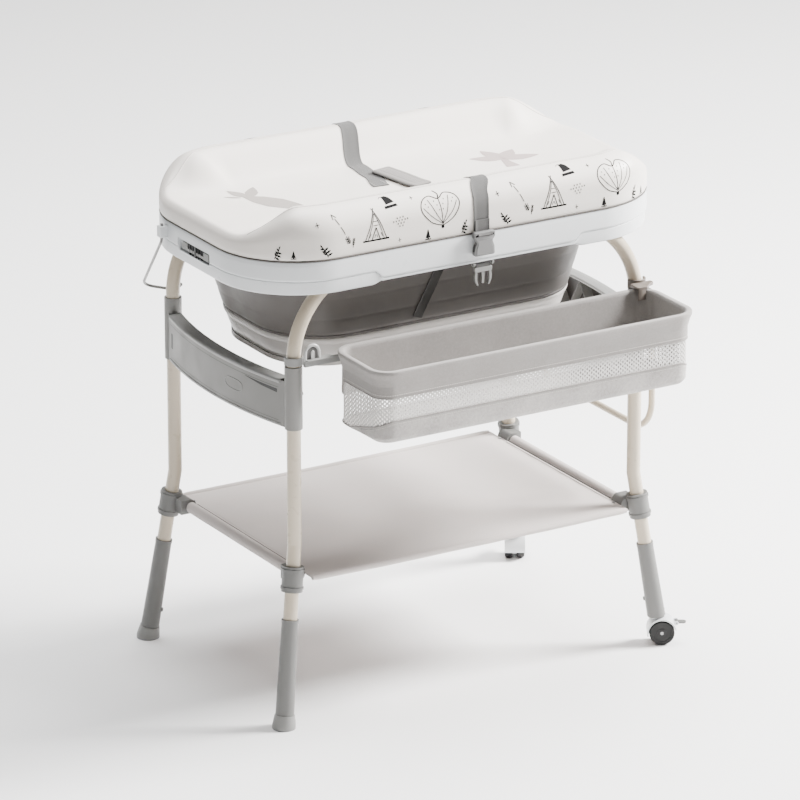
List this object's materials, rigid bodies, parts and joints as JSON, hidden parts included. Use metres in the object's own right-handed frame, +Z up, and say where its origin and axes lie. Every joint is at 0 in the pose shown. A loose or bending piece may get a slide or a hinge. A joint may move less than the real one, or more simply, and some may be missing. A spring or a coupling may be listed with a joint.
{
  "type": "changing table",
  "caption": "Baby changing table: padded lift-off mat over a collapsible tub, on a tube stand with side basket, fabric shelf, towel rail and casters.",
  "frame": {"origin": "on the floor, under the middle of the bounding box", "axes": "+X along the table top towards the casters, +Y away from the user and the basket, +Z up"},
  "size_m": [0.8718, 0.6933, 0.93],
  "materials": {
    "steel_cream": "satin powder coat",
    "plastic_grey": "fine moulded texture",
    "plastic_pale_grey": "satin moulded",
    "plastic_white": "satin moulded",
    "plastic_light": "satin moulded",
    "plastic_dark": "matt moulded",
    "steel_screw": "plain",
    "steel_wire": "grey coat",
    "shelf_fabric": "plain weave",
    "tub_rubber": "soft matt",
    "plug_rubber": "soft matt",
    "board": "pressed board",
    "mat_vinyl": "soft padded vinyl with a printed pattern",
    "strap_webbing": "woven webbing",
    "basket_fabric": "plain weave",
    "basket_mesh": "open knitted mesh",
    "wheel_black": "smooth"
  },
  "bodies": {
    "stand": {"leg_tube_fl": "steel_cream", "leg_tube_fr": "steel_cream", "leg_tube_bl": "steel_cream", "leg_tube_br": "steel_cream", "end_plate_left": "plastic_grey", "end_plate_right": "plastic_grey", "plate_screws": "steel_screw", "shelf_clamp_fl": "plastic_grey", "shelf_clamp_fr": "plastic_grey", "shelf_clamp_bl": "plastic_grey", "shelf_clamp_br": "plastic_grey", "clamp_screws": "steel_screw", "shelf_rail_left": "plastic_grey", "shelf_rail_right": "plastic_grey", "shelf_panel": "shelf_fabric", "rim": "plastic_white", "tube_saddles": "plastic_grey", "saddle_screws": "steel_screw", "latch_housing": "plastic_dark", "tub_wall": "tub_rubber", "webbing_anchor": "plastic_pale_grey", "rail_brackets": "plastic_grey", "hanger_boss": "plastic_pale_grey"},
    "rim_lever": {"rim_lever": "plastic_pale_grey"},
    "tub_base": {"tub_ring": "plastic_light", "tub_floor": "plastic_light"},
    "drain_plug": {"drain_plug": "plug_rubber"},
    "mat": {"mat_board": "board", "mat_pad": "mat_vinyl", "strap_front": "strap_webbing", "strap_back": "strap_webbing", "strap_pad": "strap_webbing", "buckle_socket": "plastic_pale_grey"},
    "buckle_plug": {"buckle_plug": "plastic_pale_grey"},
    "basket": {"basket_band": "basket_fabric", "basket_hoop": "steel_wire", "basket_mesh": "basket_mesh", "basket_tray": "basket_fabric", "basket_bracket_left": "plastic_pale_grey", "basket_clip_right": "plastic_grey"},
    "towel_rail": {"towel_rail": "steel_cream"},
    "wire_hanger": {"wire_hanger": "steel_wire"},
    "leg_fl": {"leg_sleeve_fl": "plastic_grey", "foot_pad_fl": "plastic_grey"},
    "leg_fr": {"leg_sleeve_fr": "plastic_grey"},
    "leg_bl": {"leg_sleeve_bl": "plastic_grey", "foot_pad_bl": "plastic_grey"},
    "leg_br": {"leg_sleeve_br": "plastic_grey"},
    "snap_button_fl": {"snap_button_fl": "plastic_pale_grey"},
    "snap_button_fr": {"snap_button_fr": "plastic_pale_grey"},
    "snap_button_bl": {"snap_button_bl": "plastic_pale_grey"},
    "snap_button_br": {"snap_button_br": "plastic_pale_grey"},
    "caster_fr": {"caster_housing_fr": "plastic_white"},
    "wheels_fr": {"caster_wheels_fr": "wheel_black", "caster_axle_fr": "steel_screw"},
    "brake_fr": {"brake_tab_fr": "plastic_grey"},
    "caster_br": {"caster_housing_br": "plastic_white"},
    "wheels_br": {"caster_wheels_br": "wheel_black", "caster_axle_br": "steel_screw"},
    "brake_br": {"brake_tab_br": "plastic_grey"}
  },
  "joints": [
    {"name": "mat_lift", "type": "slide", "parent": "stand", "child": "mat", "axis": [0, 0, 1], "range_m": [0, 0.25]},
    {"name": "tub_fold", "type": "slide", "parent": "stand", "child": "tub_base", "axis": [0, 0, 1], "range_m": [0, 0.1], "deforming": ["tub_wall"]},
    {"name": "drain_plug_pull", "type": "slide", "parent": "tub_base", "child": "drain_plug", "axis": [0, 0, 1], "range_m": [0, 0.06]},
    {"name": "buckle_swing", "type": "hinge", "parent": "stand", "child": "buckle_plug", "pos_m": [0.022, -0.1781, 0.782], "axis": [1, 0, 0], "range_deg": [-80, 30]},
    {"name": "rim_lever_pull", "type": "hinge", "parent": "stand", "child": "rim_lever", "pos_m": [-0.4118, 0.0555, 0.817], "axis": [0, 1, 0], "range_deg": [0, 20], "stiffness_Nm_per_rad": 0.05},
    {"name": "basket_pull", "type": "slide", "parent": "stand", "child": "basket", "axis": [0, -1, 0], "range_m": [0, 0.12]},
    {"name": "towel_rail_swing", "type": "hinge", "parent": "stand", "child": "towel_rail", "pos_m": [0.402, 0.0555, 0.575], "axis": [0, -1, 0], "range_deg": [0, 90]},
    {"name": "hanger_swing", "type": "hinge", "parent": "stand", "child": "wire_hanger", "pos_m": [-0.431, 0.1555, 0.822], "axis": [0, 0, 1], "range_deg": [0, 80]},
    {"name": "leg_slide_fl", "type": "slide", "parent": "stand", "child": "leg_fl", "axis": [-0.1275, -0.1002, -0.9868], "range_m": [0, 0.04]},
    {"name": "leg_slide_fr", "type": "slide", "parent": "stand", "child": "leg_fr", "axis": [0.1275, -0.1002, -0.9868], "range_m": [0, 0.04]},
    {"name": "leg_slide_bl", "type": "slide", "parent": "stand", "child": "leg_bl", "axis": [-0.1275, 0.1002, -0.9868], "range_m": [0, 0.04]},
    {"name": "leg_slide_br", "type": "slide", "parent": "stand", "child": "leg_br", "axis": [0.1275, 0.1002, -0.9868], "range_m": [0, 0.04]},
    {"name": "snap_press_fl", "type": "slide", "parent": "leg_fl", "child": "snap_button_fl", "axis": [-0.7759, -0.6096, 0.1622], "range_m": [0, 0.0015], "stiffness_N_per_m": 400},
    {"name": "snap_press_fr", "type": "slide", "parent": "leg_fr", "child": "snap_button_fr", "axis": [0.7759, -0.6096, 0.1622], "range_m": [0, 0.0015], "stiffness_N_per_m": 400},
    {"name": "snap_press_bl", "type": "slide", "parent": "leg_bl", "child": "snap_button_bl", "axis": [-0.7759, 0.6096, 0.1622], "range_m": [0, 0.0015], "stiffness_N_per_m": 400},
    {"name": "snap_press_br", "type": "slide", "parent": "leg_br", "child": "snap_button_br", "axis": [0.7759, 0.6096, 0.1622], "range_m": [0, 0.0015], "stiffness_N_per_m": 400},
    {"name": "caster_swivel_fr", "type": "hinge", "parent": "leg_fr", "child": "caster_fr", "pos_m": [0.38728, -0.18722, 0.052], "axis": [0, 0, 1], "continuous": true},
    {"name": "wheel_roll_fr", "type": "hinge", "parent": "caster_fr", "child": "wheels_fr", "pos_m": [0.39594, -0.19222, 0.023], "axis": [0.5, 0.866, 0], "continuous": true},
    {"name": "brake_press_fr", "type": "hinge", "parent": "caster_fr", "child": "brake_fr", "pos_m": [0.41932, -0.20572, 0.039], "axis": [0.5, 0.866, 0], "range_deg": [0, 20]},
    {"name": "caster_swivel_br", "type": "hinge", "parent": "leg_br", "child": "caster_br", "pos_m": [0.38728, 0.29822, 0.052], "axis": [0, 0, 1], "continuous": true},
    {"name": "wheel_roll_br", "type": "hinge", "parent": "caster_br", "child": "wheels_br", "pos_m": [0.39228, 0.30688, 0.023], "axis": [-0.866, 0.5, 0], "continuous": true},
    {"name": "brake_press_br", "type": "hinge", "parent": "caster_br", "child": "brake_br", "pos_m": [0.40578, 0.33026, 0.039], "axis": [-0.866, 0.5, 0], "range_deg": [0, 20]}
  ]
}
